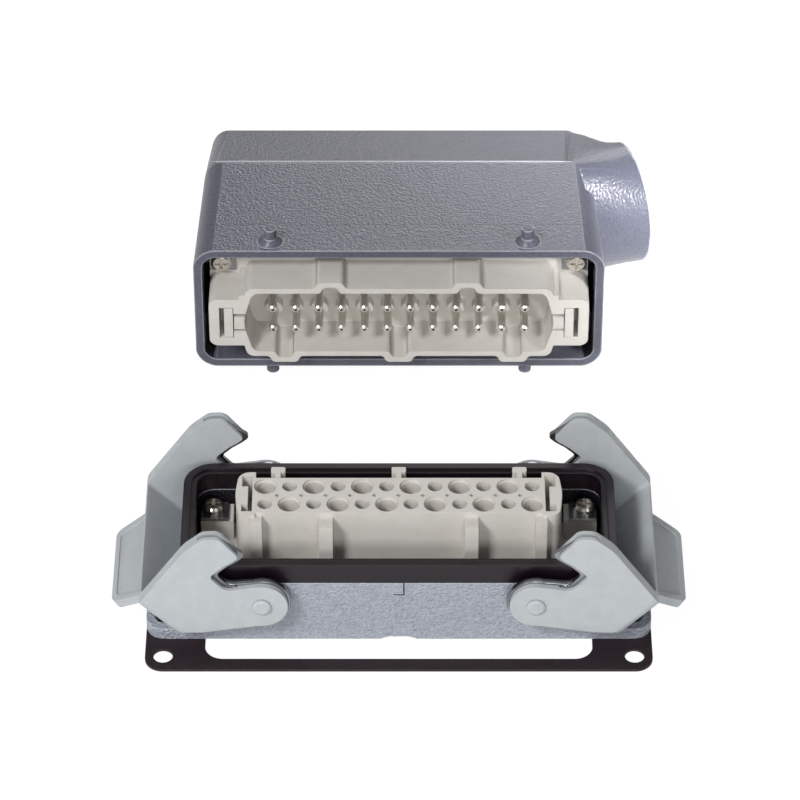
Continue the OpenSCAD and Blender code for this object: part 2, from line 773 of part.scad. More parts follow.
// Puts children on the cable entry axis, z along it, end face at z = 0
module at_entry() {
    translate([boss_x, 0, boss_h]) rotate([0, 90 - entry_tilt, 0]) children();
}

// Shoulder that runs from the roof and the ridges out to the boss
module boss_shoulder() {
    side_gap = 0.3;
    start = [shell_l / 2 - 9, 3];
    low_z = boss_h - boss_d / 2 - 3.4;
    flank = shell_w / 2 - ridge_h * tan(side_draft) - side_gap;
    crest_z = hood_h - (start.x + start.y - roof_slope_x) * tan(roof_slope) - side_gap;
    crest = roof_w / 2 + (hood_h - crest_z) * (shell_w - roof_w) / 2 / (hood_h - ridge_h) - 2 * side_gap;
    hull($fn = 64) {
        translate([start.x, -flank, low_z]) cube([start.y, 2 * flank, ridge_h - low_z - ridge_bevel]);
        translate([start.x, -crest, crest_z - 1]) cube([start.y, 2 * crest, 1]);
        at_entry() translate([0, 0, -boss_land]) cylinder(d = boss_d - 2 * side_gap, h = 1);
    }
}

module hood_peg(side) {
    flare = [8.4, 2.2];
    translate([0, side * (shell_w / 2 - 1), peg_rise]) rotate([-side * 90, 0, 0]) {
        cylinder(d = peg_d, h = peg_l + 1);
        translate([0, 0, 0.4]) cylinder(d1 = flare.x, d2 = peg_d, h = flare.y);
    }
}

module hood_shell() {
    chamber_low = pin_frame_z + frame_t;
    color(die_cast) lying_hood() difference() {
        union() {
            hood_form(0);
            at_entry() translate([0, 0, -boss_land - 2]) cylinder(d = boss_d, h = boss_land + 2);
            boss_shoulder();
            for (x = [-1, 1], side = [-1, 1]) translate([x * peg_x, 0, 0]) hood_peg(side);
        }
        difference() {
            hood_form(hood_wall);
            corner_lugs(chamber_low, 14);
        }
        at_entry() translate([0, 0, -boss_start]) cylinder(d = entry_d, h = boss_start + over);
        at_entry() translate([0, 0, -1.2]) cylinder(d1 = entry_d, d2 = entry_d + 2.4 + 2 * eps, h = 1.2 + eps);
        at_corners(screw_x, screw_y)
            translate([0, 0, chamber_low - over]) cylinder(d = screw_hole_d, h = 11);
    }
}

flange_gasket();
housing_body();
housing_seal();
lever_pivot_pins();
lever_body(-1);  // left_lever_body
lever_hook(-1, -1);  // left_hook_front
lever_hook(-1, 1);  // left_hook_rear
lever_body(1);  // right_lever_body
lever_hook(1, -1);  // right_hook_front
lever_hook(1, 1);  // right_hook_rear
socket_insert_body();
socket_contacts();
socket_terminal_screws();
socket_fixing_screws();
socket_ground_plate(-1);  // socket_ground_plate_left
socket_ground_plate(1);  // socket_ground_plate_right
hood_shell();
pin_insert_body();
contact_pins();
pin_terminal_screws();
pin_fixing_screws();
pin_ground_plate(-1);  // pin_ground_plate_left
pin_ground_plate(1);  // pin_ground_plate_right
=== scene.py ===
import json
import math
import bmesh
import bpy
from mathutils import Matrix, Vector
from mathutils.bvhtree import BVHTree


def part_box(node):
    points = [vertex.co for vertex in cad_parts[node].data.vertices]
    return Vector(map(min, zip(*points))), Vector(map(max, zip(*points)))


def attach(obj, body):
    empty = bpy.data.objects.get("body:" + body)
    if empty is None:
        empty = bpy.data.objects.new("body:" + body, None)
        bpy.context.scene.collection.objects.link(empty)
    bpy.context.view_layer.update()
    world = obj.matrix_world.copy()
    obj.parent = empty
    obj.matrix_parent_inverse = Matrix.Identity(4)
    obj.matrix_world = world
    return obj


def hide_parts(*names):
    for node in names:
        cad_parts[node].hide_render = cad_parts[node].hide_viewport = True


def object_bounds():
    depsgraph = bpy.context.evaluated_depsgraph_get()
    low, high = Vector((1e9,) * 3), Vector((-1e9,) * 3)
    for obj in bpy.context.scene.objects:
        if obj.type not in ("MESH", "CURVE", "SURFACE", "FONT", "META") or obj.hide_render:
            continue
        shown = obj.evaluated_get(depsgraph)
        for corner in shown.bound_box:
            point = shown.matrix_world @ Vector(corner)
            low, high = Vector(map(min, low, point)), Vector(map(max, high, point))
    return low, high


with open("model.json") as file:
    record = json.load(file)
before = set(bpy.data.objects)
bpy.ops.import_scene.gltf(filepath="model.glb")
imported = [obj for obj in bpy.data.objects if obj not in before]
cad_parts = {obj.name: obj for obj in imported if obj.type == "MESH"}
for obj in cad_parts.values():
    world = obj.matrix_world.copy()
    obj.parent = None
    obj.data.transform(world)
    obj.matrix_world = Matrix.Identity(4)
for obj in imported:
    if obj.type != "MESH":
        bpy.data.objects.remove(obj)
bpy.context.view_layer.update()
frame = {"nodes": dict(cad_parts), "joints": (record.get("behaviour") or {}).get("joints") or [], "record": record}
nodes = frame["nodes"]
scene = bpy.context.scene
mm = 0.001
print("frame loaded:", len(nodes), "solids")


def linear(hexColour):
    # sRGB hex to linear RGBA
    parts = [int(hexColour[i:i + 2], 16) / 255 for i in (0, 2, 4)]
    return tuple(c / 12.92 if c <= 0.04045 else ((c + 0.055) / 1.055) ** 2.4 for c in parts) + (1.0,)


def addNode(tree, kind, settings=None, inputs=None, links=None):
    # sockets go by name, or by number where a node has several of one name
    node = tree.nodes.new(kind)
    for name, value in (settings or {}).items():
        setattr(node, name, value)
    for name, value in (inputs or {}).items():
        node.inputs[name].default_value = value
    for name, source in (links or {}).items():
        tree.links.new(source, node.inputs[name])
    return node


# powder coat on die-cast aluminium: satin gloss over an orange peel that breaks highlights into specks, with a
# painted highlight along edges and painted shade inside the casting. The real peel is drawn deeper to show
castPaint = {
    "hood": {"hex": "5D5F6C", "darkHex": "555764", "edgeHighlightHex": "C9CDD6", "roughness": 0.3,
             "peelMm": 0.75, "peelDepthMm": 0.18, "edgeRoundMm": 0.6,
             "partingMm": 106.4, "partingWidthMm": 0.4, "partingHex": "3A3C47", "partingShare": 0.55,
             # the inside colour and its box are painted shade for the inside of the casting
             "insideShadeHex": "1E1C24", "insideMm": (0, 100.1, 25.6), "insideHalfMm": (57.2, 6.8, 18.6)},
    "housing": {"hex": "A6ABB5", "darkHex": "989DA8", "edgeHighlightHex": "D2D6DC", "roughness": 0.34,
                "peelMm": 0.75, "peelDepthMm": 0.62, "edgeRoundMm": 0.5, "partingMm": None,
                "insideShadeHex": "17141B", "insideMm": (0, 0, 10.6), "insideHalfMm": (57.6, 19.1, 9.6)},
}
# painted highlight along edges: the cosine between true and rounded normal at which it starts and is full, and its
# share then
castEdge = {"starts": 0.998, "full": 0.97, "share": 0.75, "tonePeels": 1.4}
# moulded polyamide and polycarbonate: matt, faint grain, almost even in tone
moulding = {
    "lever": {"hex": "B6BBBE", "darkHex": "B1B6B9", "roughness": 0.42, "ior": 1.53,
              "grainMm": 0.4, "grainDepthMm": 0.02, "edgeRoundMm": 0.4},
    "insert": {"hex": "D3CFC9", "darkHex": "CFCBC4", "roughness": 0.4, "ior": 1.58,
               "grainMm": 0.5, "grainDepthMm": 0.01, "edgeRoundMm": 0.25},
}
# nitrile rubber: near black with a violet cast, soft wide highlight
nitrile = {
    "seal": {"hex": "130511", "darkHex": "10040E", "roughness": 0.36, "ior": 1.52,
             "grainMm": 0.6, "grainDepthMm": 0.01, "edgeRoundMm": 0.4},
    "gasket": {"hex": "22121A", "darkHex": "1C0F15", "roughness": 0.55, "ior": 1.52,
               "grainMm": 0.4, "grainDepthMm": 0.02, "edgeRoundMm": 0.2},
}
# metals: zinc-plated screws, stamped stainless spring steel, silver-plated brass
plating = {
    "zincPlate": {"hex": "DCD8D0", "darkHex": "B9B3A8", "roughness": 0.16,
                  "grainMm": 1.2, "grainDepthMm": 0.03, "edgeRoundMm": 0.2},
    "springSteel": {"hex": "A9ABB0", "darkHex": "8C8D92", "roughness": 0.22,
                    "grainMm": 1.5, "grainDepthMm": 0.03, "edgeRoundMm": 0.25},
    "silverPlate": {"hex": "F4F1EC", "darkHex": "E6E2DB", "roughness": 0.3,
                    "grainMm": 1.0, "grainDepthMm": 0.01, "edgeRoundMm": 0.25},
}
toneGrains = 9  # how many grains wide a patch of one tone is, on mouldings, rubber and plating
toneBand = (0.38, 0.62)  # where the noise turns from the dark tone to the light one


def newMaterial(name):
    material = bpy.data.materials.new(name)
    material.use_nodes = True
    return material, material.node_tree, material.node_tree.nodes["Principled BSDF"]


def mottled(tree, shader, look, sizeMm, place):
    # base colour that drifts between two close tones
    noise = addNode(tree, "ShaderNodeTexNoise", None,
                    {"Scale": 1 / (sizeMm * mm), "Detail": 2.0, "Roughness": 0.6},
                    {"Vector": place.outputs["Object"]})
    ramp = addNode(tree, "ShaderNodeValToRGB", None, None, {"Fac": noise.outputs["Fac"]})
    for element, position, tone in zip(ramp.color_ramp.elements, toneBand, ("darkHex", "hex")):
        element.position = position
        element.color = linear(look[tone])
    tree.links.new(ramp.outputs["Color"], shader.inputs["Base Color"])
    return ramp


def grainBump(tree, shader, look, sizeMm, depthMm, place):
    # fine bumps on top of softly rounded edges
    edge = addNode(tree, "ShaderNodeBevel", {"samples": 4}, {"Radius": look["edgeRoundMm"] * mm})
    grain = addNode(tree, "ShaderNodeTexNoise", None,
                    {"Scale": 1 / (sizeMm * mm), "Detail": 1.0, "Roughness": 0.5},
                    {"Vector": place.outputs["Object"]})
    bump = addNode(tree, "ShaderNodeBump", None, {"Strength": 1.0, "Distance": depthMm * mm},
                   {"Height": grain.outputs["Fac"], "Normal": edge.outputs["Normal"]})
    tree.links.new(bump.outputs["Normal"], shader.inputs["Normal"])
    return edge


def plainFinish(name, look, metallic=0.0):
    material, tree, shader = newMaterial(name)
    shader.inputs["Roughness"].default_value = look["roughness"]
    shader.inputs["Metallic"].default_value = metallic
    if "ior" in look:
        shader.inputs["IOR"].default_value = look["ior"]
    place = addNode(tree, "ShaderNodeTexCoord")
    mottled(tree, shader, look, look["grainMm"] * toneGrains, place)
    grainBump(tree, shader, look, look["grainMm"], look["grainDepthMm"], place)
    return material


def castFinish(name, look):
    material, tree, shader = newMaterial(name)
    shader.inputs["Roughness"].default_value = look["roughness"]
    place = addNode(tree, "ShaderNodeTexCoord")
    tone = mottled(tree, shader, look, look["peelMm"] * castEdge["tonePeels"], place)
    edge = grainBump(tree, shader, look, look["peelMm"], look["peelDepthMm"], place)
    # where the rounded normal leaves the face's own, an edge is near, and a lighter colour is painted there as a
    # highlight
    surface = addNode(tree, "ShaderNodeNewGeometry")
    turn = addNode(tree, "ShaderNodeVectorMath", {"operation": "DOT_PRODUCT"}, None,
                   {0: edge.outputs["Normal"], 1: surface.outputs["True Normal"]})
    near = addNode(tree, "ShaderNodeMapRange", None,
                   {"From Min": castEdge["starts"], "From Max": castEdge["full"],
                    "To Min": 0.0, "To Max": castEdge["share"]}, {"Value": turn.outputs["Value"]})
    coat = addNode(tree, "ShaderNodeMix", {"data_type": "RGBA"}, {7: linear(look["edgeHighlightHex"])},
                   {0: near.outputs["Result"], 6: tone.outputs["Color"]})
    across = addNode(tree, "ShaderNodeSeparateXYZ", None, None, {"Vector": place.outputs["Object"]})
    if look["partingMm"] is not None:
        # faint line where the two halves of the casting die met
        parting = addNode(tree, "ShaderNodeMath", {"operation": "COMPARE"},
                          {1: look["partingMm"] * mm, 2: look["partingWidthMm"] / 2 * mm},
                          {0: across.outputs["Y"]})
        shade = addNode(tree, "ShaderNodeMath", {"operation": "MULTIPLY"}, {1: look["partingShare"]},
                        {0: parting.outputs[0]})
        coat = addNode(tree, "ShaderNodeMix", {"data_type": "RGBA"}, {7: linear(look["partingHex"])},
                       {0: shade.outputs[0], 6: coat.outputs[2]})
    # painted shade: inside the box the coat is darkened to near black, standing in for the shade within the
    # casting
    within = None
    for axis, middle, half in zip("XYZ", look["insideMm"], look["insideHalfMm"]):
        between = addNode(tree, "ShaderNodeMath", {"operation": "COMPARE"}, {1: middle * mm, 2: half * mm},
                          {0: across.outputs[axis]})
        if within is not None:
            between = addNode(tree, "ShaderNodeMath", {"operation": "MULTIPLY"}, None,
                              {0: within.outputs[0], 1: between.outputs[0]})
        within = between
    insideShaded = addNode(tree, "ShaderNodeMix", {"data_type": "RGBA"}, {7: linear(look["insideShadeHex"])},
                     {0: within.outputs[0], 6: coat.outputs[2]})
    tree.links.new(insideShaded.outputs[2], shader.inputs["Base Color"])
    return material


finishes = {
    "hood_cast": castFinish("powderCoatedHood", castPaint["hood"]),
    "housing_cast": castFinish("powderCoatedHousing", castPaint["housing"]),
    "lever_moulding": plainFinish("mouldedPolyamide", moulding["lever"]),
    "insert_moulding": plainFinish("mouldedPolycarbonate", moulding["insert"]),
    "seal_rubber": plainFinish("mouldedNitrile", nitrile["seal"]),
    "gasket_rubber": plainFinish("dieCutNitrile", nitrile["gasket"]),
    "plated_steel": plainFinish("zincPlatedSteel", plating["zincPlate"], 1.0),
    "spring_steel": plainFinish("stampedSpringSteel", plating["springSteel"], 1.0),
    "silvered_brass": plainFinish("silverPlatedBrass", plating["silverPlate"], 1.0),
}
for part in frame["record"]["subparts"]:
    mesh = nodes[part["node"]].data
    mesh.materials.clear()
    mesh.materials.append(finishes[part["material_slot"]])
print("finishes set")


def addPiece(name, mesh, body, slot, smoothAngle=40, finish=None):
    data = bpy.data.meshes.new(name)
    mesh.to_mesh(data)
    mesh.free()
    data.shade_smooth()
    data.set_sharp_from_angle(angle=math.radians(smoothAngle))
    data.materials.append(finish or finishes[slot])
    piece = bpy.data.objects.new(name, data)
    scene.collection.objects.link(piece)
    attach(piece, body)
    return piece


def skinRings(mesh, rings, capped=True):
    # faces between rings of as many points each, and over the two ends
    count = len(rings[0])
    for one, two in zip(rings, rings[1:]):
        for j in range(count):
            mesh.faces.new((one[j], one[(j + 1) % count], two[(j + 1) % count], two[j]))
    if capped:
        mesh.faces.new(rings[0])
        mesh.faces.new(rings[-1])
    bmesh.ops.recalc_face_normals(mesh, faces=mesh.faces)
    return mesh


# the hood's own form, in its own frame in mm: x along it, y across, z up from the rim. Drafts, slope
# and tilt are in degrees
hoodLow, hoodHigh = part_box("hood_shell")
hoodForm = {
    "endHalf": -hoodLow.x / mm, "roof": (hoodHigh.y - hoodLow.y) / mm, "rimHalf": 21.5, "roofHalf": 11.5,
    "sideDraft": 2.0, "endDraft": 2.3, "ridge": 46.0, "bevel": 0.8, "corner": 7.0,
    "slopeStart": 48.0, "slope": 17.5, "crestDrop": 1.2, "crestIn": 1.4,
}
boss = {"half": 18.22, "x": 70.0, "z": 52.6, "tilt": 19.0, "land": 0.35}


def hoodToWorld(x, y, z):
    return Vector((x, hoodLow.y / mm + z, (hoodLow.z + hoodHigh.z) / 2 / mm - y)) * mm


def worldToHood(place):
    return place.x / mm, ((hoodLow.z + hoodHigh.z) / 2 - place.z) / mm, (place.y - hoodLow.y) / mm


def flankHalf(z):
    return hoodForm["rimHalf"] - z * math.tan(math.radians(hoodForm["sideDraft"]))


def roofLean():
    # how much narrower the roof gets for each mm above the ridge
    return (flankHalf(hoodForm["ridge"]) - hoodForm["roofHalf"]) / (hoodForm["roof"] - hoodForm["ridge"])


# cast shoulder that runs from the hood's flanks and roof out to the round boss
shoulder = {
    "start": 50.6, "low": 32.0, "roundFrom": 42.0, "underPower": 0.8, "centreZ": 50.0,
    "tuck": 0.12, "tuckFade": 9, "swell": 0.3, "swellFade": 1.1, "lip": 0.02,
    "topPull": 1.9, "lowPull": 0.55, "pullTurn": 0.95, "pullOver": 1.5, "rings": 26, "points": 144,
}


def hoodSection(x):
    # right half of the hood's outline at x, from the bottom of the shoulder to its crest
    form, low, roundFrom = hoodForm, shoulder["low"], shoulder["roundFrom"]
    lean = roofLean()
    ridgeY = flankHalf(form["ridge"])
    top = form["roof"] - max(0.0, x - form["slopeStart"]) * math.tan(math.radians(form["slope"]))
    topHalf = ridgeY - lean * (top - form["ridge"])
    under = [(ridgeY * math.sin(q) ** shoulder["underPower"], roundFrom - (roundFrom - low) * math.cos(q))
             for q in (math.pi * k / 24 for k in range(12))]
    return under + [
        (flankHalf(roundFrom), roundFrom),
        (flankHalf(form["ridge"] - form["bevel"]), form["ridge"] - form["bevel"]),
        (ridgeY - lean * form["bevel"] - shoulder["tuck"], form["ridge"] + form["bevel"]),
        (topHalf + form["crestDrop"] * lean, top - form["crestDrop"]),
        (topHalf - form["crestIn"], top), (0, top)]


def ease(part):
    part = min(1.0, max(0.0, part))
    return part * part * (3 - 2 * part)


def rayHit(outline, centreZ, angle):
    # where a ray from the section's centre leaves the outline
    dy, dz = math.sin(angle), math.cos(angle)
    best = 0.0
    for (y0, z0), (y1, z1) in zip(outline, outline[1:]):
        ey, ez = y1 - y0, z1 - z0
        cross = dy * ez - dz * ey
        if abs(cross) < 1e-9:
            continue
        along = (y0 * ez - (z0 - centreZ) * ey) / cross
        part = (y0 * dz - (z0 - centreZ) * dy) / cross
        if -1e-6 <= part <= 1 + 1e-6 and along > best:
            best = along
    return best


def bossEnd(angle):
    # the boss's rim, which leans back at the top
    tilt = math.radians(boss["tilt"])
    up = boss["half"] * math.cos(angle)
    return (boss["x"] - up * math.sin(tilt) - boss["land"] * math.cos(tilt), boss["half"] * math.sin(angle),
            boss["z"] + up * math.cos(tilt) - boss["land"] * math.sin(tilt))


def shoulderPoint(t, angle):
    s = shoulder
    side = 1 if angle <= math.pi else -1
    a = angle if side > 0 else 2 * math.pi - angle
    endX, endY, endZ = bossEnd(a)
    x = s["start"] + (endX - s["start"]) * t
    swell = s["swell"] * math.sin(math.pi * min(1.0, t * s["swellFade"]))
    reach = rayHit(hoodSection(x), s["centreZ"], a) - s["tuck"] * max(0.0, 1 - t * s["tuckFade"]) + swell
    y, z = reach * math.sin(a), s["centreZ"] + reach * math.cos(a)
    # the crest and the ridge hold on to the hood's own form, the underside goes round at once
    pull = t ** (s["topPull"] + (s["lowPull"] - s["topPull"]) * ease((a - s["pullTurn"]) / s["pullOver"]))
    return hoodToWorld(x, side * (y + (endY - y) * pull), z + (endZ - z) * pull)


def buildShoulder():
    s = shoulder
    half = s["points"] // 2
    corners = [math.atan2(y, z - s["centreZ"]) for y, z in hoodSection(s["start"])[1:-1]]
    angles = sorted([math.pi * i / half for i in range(half + 1)] + corners)
    angles = angles + [2 * math.pi - a for a in reversed(angles[1:-1])]
    mesh = bmesh.new()
    rings = [[mesh.verts.new(shoulderPoint(i / s["rings"], angle)) for angle in angles]
             for i in range(s["rings"] + 1)]
    # the end turns in over the boss's face
    middle = hoodToWorld(boss["x"], 0, boss["z"])
    rings.append([mesh.verts.new(v.co.lerp(middle, s["lip"])) for v in rings[-1]])
    return skinRings(mesh, rings, False)


shoulderMesh = buildShoulder()
shoulderTree = BVHTree.FromBMesh(shoulderMesh)
addPiece("hoodShoulder", shoulderMesh, "root", "hood_cast", 60)

# the CAD shell has a flat-sided shoulder, which is drawn in just under the smooth one
drawIn = {"fromX": 53, "fromZ": 29, "behindFace": 0.3, "bossWall": 3, "offForm": 0.12,
          "edgeMm": 1.5, "rounds": 6, "clearMm": 0.2, "underMm": 0.25}


def beyondForm(x, y, z):
    # how far a point lies outside the hood's own straight walls and round corners, in mm
    halfX = hoodForm["endHalf"] - z * math.tan(math.radians(hoodForm["endDraft"]))
    halfY = flankHalf(min(z, hoodForm["ridge"]))
    if z > hoodForm["ridge"]:
        halfY -= roofLean() * (z - hoodForm["ridge"])
    r = hoodForm["corner"]
    qx, qy = x - (halfX - r), abs(y) - (halfY - r)
    return math.hypot(max(qx, 0), max(qy, 0)) + min(max(qx, qy), 0) - r


def isLoose(vert):
    # true for a point of the flat-sided shoulder, which lies outside the hood's walls
    x, y, z = worldToHood(vert.co)
    tilt = math.radians(boss["tilt"])
    behind = (x - boss["x"]) * math.cos(tilt) + (z - boss["z"]) * math.sin(tilt)
    offSquared = (x - boss["x"]) ** 2 + y * y + (z - boss["z"]) ** 2 - behind * behind
    return (x > drawIn["fromX"] and z > drawIn["fromZ"] and behind < -drawIn["behindFace"]
            and math.sqrt(max(0.0, offSquared)) > boss["half"] - drawIn["bossWall"]
            and beyondForm(x, y, z) > drawIn["offForm"])


def buildHoodShell():
    mesh = bmesh.new()
    mesh.from_mesh(nodes["hood_shell"].data)
    bmesh.ops.remove_doubles(mesh, verts=mesh.verts, dist=0.000002)
    for _ in range(drawIn["rounds"]):
        long = [e for e in mesh.edges
                if e.calc_length() > drawIn["edgeMm"] * mm and (isLoose(e.verts[0]) or isLoose(e.verts[1]))]
        if not long:
            break
        bmesh.ops.subdivide_edges(mesh, edges=long, cuts=1)
        bmesh.ops.triangulate(mesh, faces=[f for f in mesh.faces if len(f.verts) > 3])
    for vert in mesh.verts:
        if isLoose(vert):
            nearest, normal, _, _ = shoulderTree.find_nearest(vert.co)
            if (vert.co - nearest).dot(normal) > -drawIn["clearMm"] * mm:
                vert.co = nearest - normal * drawIn["underMm"] * mm
    return mesh


def keepNormals(data, source):
    # corners that haven't moved take the CAD surface's own normals
    def key(place):
        return tuple(round(c * 1e6 / 3) for c in place)

    known = {}
    for loop in source.loops:
        place = key(source.vertices[loop.vertex_index].co)
        known.setdefault(place, []).append(source.corner_normals[loop.index].vector.copy())
    normals = [n.vector.copy() for n in data.corner_normals]
    for face in data.polygons:
        for index in face.loop_indices:
            found = known.get(key(data.vertices[data.loops[index].vertex_index].co), [])
            near = max(found, key=lambda n: n.dot(face.normal), default=None)
            if near is not None and near.dot(face.normal) > 0.8:
                normals[index] = near
    data.normals_split_custom_set(normals)


hoodShell = addPiece("hoodShell", buildHoodShell(), "root", "hood_cast", 32)
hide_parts("hood_shell")
keepNormals(hoodShell.data, nodes["hood_shell"].data)
print("hood shell drawn in:", len(hoodShell.data.polygons), "faces")


def sweptBar(points, out, across, wide, thin, squareness=(0.6, 1.0), steps=12, taperEnds=4, taperWide=True):
    # a rounded bar along points: wide along across, thin along out, drawn down at both ends
    mesh = bmesh.new()
    rings = []
    for i, point in enumerate(points):
        taper = min(1.0, (i + 1) / taperEnds, (len(points) - i) / taperEnds)
        ring = []
        for k in range(steps):
            c, q = math.cos(2 * math.pi * k / steps), math.sin(2 * math.pi * k / steps)
            sideways = math.copysign(abs(c) ** squareness[0], c) * wide / 2 * (taper if taperWide else 1.0)
            outwards = math.copysign(abs(q) ** squareness[1], q) * thin / 2 * taper
            ring.append(mesh.verts.new(point + across[i] * sideways + out[i] * outwards))
        rings.append(ring)
    return skinRings(mesh, rings)


# a thin bead along each of the hood's two ridges, coloured lighter than the coat as a painted highlight
bead = {"from": -57.2, "to": 52.0, "every": 2.0, "wideMm": 0.9, "thinMm": 0.34, "sinkMm": 0.14, "lean": 9.0,
        "hex": "B4B8C2", "roughness": 0.25, "edgeRoundMm": 0.2, "peelMm": 0.8, "peelDepthMm": 0.12}


def buildBead(side):
    lean = math.radians(bead["lean"])
    origin = hoodToWorld(0, 0, 0)
    out = (hoodToWorld(0, side * math.cos(lean), math.sin(lean)) - origin).normalized()
    across = (hoodToWorld(0, -side * math.sin(lean), math.cos(lean)) - origin).normalized()
    ridgeY = flankHalf(hoodForm["ridge"]) - bead["sinkMm"]
    count = int((bead["to"] - bead["from"]) / bead["every"])
    points = [hoodToWorld(bead["from"] + (bead["to"] - bead["from"]) * i / count, side * ridgeY,
                          hoodForm["ridge"]) for i in range(count + 1)]
    return sweptBar(points, [out] * len(points), [across] * len(points), bead["wideMm"] * mm,
                    bead["thinMm"] * mm)


# the bead's light colour is a painted highlight
beadHighlightFinish, tree, shader = newMaterial("ridgeHighlightCoat")
shader.inputs["Base Color"].default_value = linear(bead["hex"])
shader.inputs["Roughness"].default_value = bead["roughness"]
grainBump(tree, shader, bead, bead["peelMm"], bead["peelDepthMm"], addNode(tree, "ShaderNodeTexCoord"))
for side, sideName in ((1, "Upper"), (-1, "Lower")):
    addPiece("hoodRidge" + sideName, buildBead(side), "root", "hood_cast", finish=beadHighlightFinish)
print("hood shoulder and ridges built")

# rolled steel band that follows each lever's neck and round end, behind the moulding. The neck's
# points are x and z from the pivot in mm with the lever locked, turns are degrees round the pivot
band = {"neck": [(-2.3, 12.6), (-2.2, 11.4), (-1.2, 10.1), (0.6, 8.9)], "radius": 7.55, "turns": (66, -62),
        "everyDegrees": 6, "inner": 23.45, "width": 1.9, "thick": 0.9, "squareness": (0.5, 0.7)}
hinges = {joint["child"]: joint for joint in frame["joints"]}


def bandPath():
    points = [Vector(p) for p in band["neck"]]
    start, stop = band["turns"]
    for turn in range(start, stop, -band["everyDegrees"]):
        a = math.radians(turn)
        points.append(Vector((math.cos(a), math.sin(a))) * band["radius"])
    # two rounds of corner cutting make one smooth line
    for _ in range(2):
        cut = [points[0]]
        for one, two in zip(points, points[1:]):
            cut += [one.lerp(two, 0.25), one.lerp(two, 0.75)]
        points = cut + [points[-1]]
    return points


def buildBand(side, face, hinge):
    # side is -1 for the left lever, face is -1 for its front plate; the lever stands open
    angle = math.radians(hinge["range_deg"][1])
    pivot = Vector(hinge["pos_m"])

    def opened(flat):
        x = flat.x * math.cos(angle) - flat.y * math.sin(angle)
        return Vector((-side * x, 0, flat.x * math.sin(angle) + flat.y * math.cos(angle)))

    path = bandPath()
    middle = Vector((0, face * (band["inner"] + band["width"] / 2), 0))
    points, out = [], []
    for i, point in enumerate(path):
        ahead = path[min(i + 1, len(path) - 1)] - path[max(i - 1, 0)]
        points.append(pivot + (opened(point) + middle) * mm)
        out.append(opened(Vector((-ahead.y, ahead.x)).normalized()))
    return sweptBar(points, out, [Vector((0, face, 0))] * len(points), band["width"] * mm,
                    band["thick"] * mm, band["squareness"], taperEnds=5, taperWide=False)


for side, sideName in ((-1, "left"), (1, "right")):
    for face, faceName in ((-1, "Front"), (1, "Rear")):
        body = sideName + "_lever"
        addPiece(sideName + "Band" + faceName, buildBand(side, face, hinges[body]), body, "spring_steel")
print("lever bands built")

# each pin's tip gets a small dark disc at its centre, painted shade standing in for a dimple, seen end on
dimple = {"columns": 12, "pitchMm": 6.7, "rowMm": 7.4, "radiusMm": 0.42, "proudMm": 0.03, "deepMm": 0.2,
          "sides": 16, "hex": "5A544C", "darkHex": "4A453F", "toneMm": 0.6, "roughness": 0.5}


def buildDimples():
    low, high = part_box("contact_pins")
    middle = (low + high) / 2
    radius = dimple["radiusMm"] * mm
    turns = [2 * math.pi * k / dimple["sides"] for k in range(dimple["sides"])]
    mesh = bmesh.new()
    for column in range(dimple["columns"]):
        x = middle.x + (column - (dimple["columns"] - 1) / 2) * dimple["pitchMm"] * mm
        for row in (-1, 1):
            z = middle.z + row * dimple["rowMm"] / 2 * mm
            rings = [[mesh.verts.new((x + radius * math.cos(a), low.y + y * mm, z + radius * math.sin(a)))
                      for a in turns] for y in (-dimple["proudMm"], dimple["deepMm"])]
            skinRings(mesh, rings)
    return mesh


dimpleShadeFinish, tree, shader = newMaterial("shadedDimple")
shader.inputs["Metallic"].default_value = 1.0
shader.inputs["Roughness"].default_value = dimple["roughness"]
mottled(tree, shader, dimple, dimple["toneMm"], addNode(tree, "ShaderNodeTexCoord"))
addPiece("pinDimples", buildDimples(), "root", "silvered_brass", finish=dimpleShadeFinish)
print("pin dimples built")

# the housing's front wall shows a small slot outline where the seal's tab hooks in
slotLid = {"left": -1.62, "right": 1.2, "dropMm": 4.15, "proudMm": 0.06, "rootMm": 0.1, "rimMm": 20.8,
           "topGapMm": 0.02, "faceY": -21.5}


def buildSlotLid():
    lid = slotLid
    low = Vector((lid["left"], lid["faceY"] - lid["proudMm"], lid["rimMm"] - lid["dropMm"])) * mm
    high = Vector((lid["right"], lid["faceY"] + lid["rootMm"], lid["rimMm"] - lid["topGapMm"])) * mm
    mesh = bmesh.new()
    bmesh.ops.create_cube(mesh, size=1.0)
    for vert in mesh.verts:
        vert.co = [(a + b) / 2 + c * (b - a) for a, b, c in zip(low, high, vert.co)]
    return mesh


addPiece("housingSlotLid", buildSlotLid(), "root", "housing_cast", 30)
print("housing slot lid built")

studio = {
    "floorHex": "F4F4F4", "floorRoughness": 0.9, "floorSide": 6.0, "floorShade": 0.12, "floorWhite": 1.09,
    "mirrorShare": 0.18, "worldLight": 0.22, "lampsAim": (0, 0.05, 0),
    # name: place in metres, side in metres, watts
    "lamps": {"keyLeft": ((-0.66, -0.85, 1.1), 0.35, 15.5), "front": ((0.1, -1.4, 0.55), 0.5, 6.5),
              "back": ((0.1, 1.3, 0.55), 0.4, 3.0)},
}
# a narrow lamp on the hood's entry end; its cone is in degrees
entryLamp = {"place": (0.53, -0.27, 0.36), "aim": (0.086, 0.143, 0.022), "watts": 100.0, "cone": 8.5,
             "softEdge": 0.8, "radius": 0.05}
# a long lens from well above, so that upright edges hardly converge
view = {"lensMm": 193.185, "sensorMm": 36, "elevation": 39.7, "place": (0.00033, -0.894, 0.8103)}


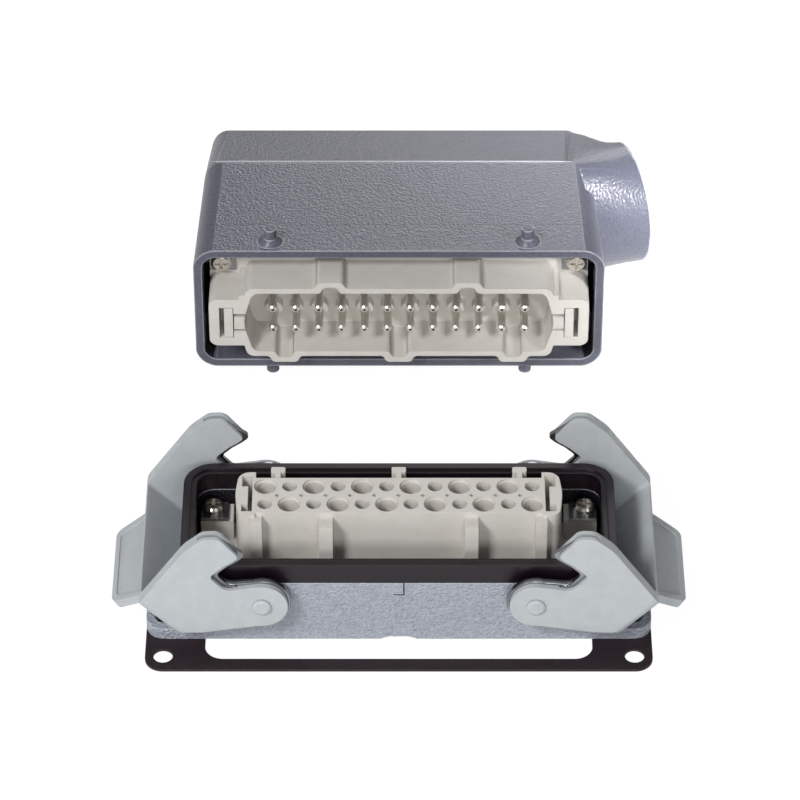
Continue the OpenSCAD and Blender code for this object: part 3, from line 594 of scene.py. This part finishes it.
def whiteShare(tree, toCamera, toMirrors):
    # how white the backdrop is: to the camera, and in what metal and gloss mirror
    path = addNode(tree, "ShaderNodeLightPath")
    mirrors = addNode(tree, "ShaderNodeMath", {"operation": "MAXIMUM"}, None,
                      {0: path.outputs["Is Glossy Ray"], 1: path.outputs["Is Transmission Ray"]})
    mirrored = addNode(tree, "ShaderNodeMath", {"operation": "MULTIPLY"}, {1: toMirrors},
                       {0: mirrors.outputs[0]})
    seen = addNode(tree, "ShaderNodeMath", {"operation": "MULTIPLY"}, {1: toCamera},
                   {0: path.outputs["Is Camera Ray"]})
    either = addNode(tree, "ShaderNodeMath", {"operation": "MAXIMUM"}, None,
                     {0: mirrored.outputs[0], 1: seen.outputs[0]})
    return either.outputs[0]


def addObject(name, data, place=(0, 0, 0), aim=None):
    holder = bpy.data.objects.new(name, data)
    holder.location = place
    if aim is not None:
        holder.rotation_euler = (Vector(aim) - Vector(place)).to_track_quat("-Z", "Y").to_euler()
    scene.collection.objects.link(holder)
    return holder


def setFloor():
    half, ground = studio["floorSide"] / 2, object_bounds()[0].z
    data = bpy.data.meshes.new("floor")
    corners = [(-half, -half, ground), (half, -half, ground), (half, half, ground), (-half, half, ground)]
    data.from_pydata(corners, [], [(0, 1, 2, 3)])
    material, tree, shader = newMaterial("paperFloor")
    shader.inputs["Base Color"].default_value = linear(studio["floorHex"])
    shader.inputs["Roughness"].default_value = studio["floorRoughness"]
    glow = addNode(tree, "ShaderNodeEmission", None,
                   {"Color": (1, 1, 1, 1), "Strength": studio["floorWhite"]})
    white = whiteShare(tree, 1 - studio["floorShade"], studio["mirrorShare"])
    mix = addNode(tree, "ShaderNodeMixShader", None, None,
                  {"Fac": white, 1: shader.outputs[0], 2: glow.outputs[0]})
    tree.links.new(mix.outputs[0], tree.nodes["Material Output"].inputs["Surface"])
    data.materials.append(material)
    addObject("floor", data)


def setWorld():
    scene.world = bpy.data.worlds.new("studio")
    scene.world.use_nodes = True
    tree = scene.world.node_tree
    soft = tree.nodes["Background"]
    soft.inputs["Color"].default_value = (1, 1, 1, 1)
    soft.inputs["Strength"].default_value = studio["worldLight"]
    white = addNode(tree, "ShaderNodeBackground", None, {"Color": (1, 1, 1, 1), "Strength": 1.0})
    share = whiteShare(tree, 1.0, studio["mirrorShare"])
    mix = addNode(tree, "ShaderNodeMixShader", None, None,
                  {"Fac": share, 1: soft.outputs[0], 2: white.outputs[0]})
    tree.links.new(mix.outputs[0], tree.nodes["World Output"].inputs["Surface"])


def setLamps():
    for name, (place, side, watts) in studio["lamps"].items():
        lamp = bpy.data.lights.new(name, "AREA")
        lamp.shape = "SQUARE"
        lamp.size = side
        lamp.energy = watts
        addObject(name, lamp, place, studio["lampsAim"])
    spot = bpy.data.lights.new("entryLamp", "SPOT")
    spot.energy = entryLamp["watts"]
    spot.spot_size = math.radians(entryLamp["cone"])
    spot.spot_blend = entryLamp["softEdge"]
    spot.shadow_soft_size = entryLamp["radius"]
    addObject("entryLamp", spot, entryLamp["place"], entryLamp["aim"])


def setCamera():
    camera = bpy.data.cameras.new("camera")
    camera.sensor_width = view["sensorMm"]
    camera.lens = view["lensMm"]
    camera.clip_end = 20
    scene.camera = addObject("camera", camera, view["place"])
    scene.camera.rotation_euler = (math.radians(90 - view["elevation"]), 0, 0)
    scene.view_settings.view_transform = "Standard"


setFloor()
setWorld()
setLamps()
setCamera()
print("stage, lamps and camera set")
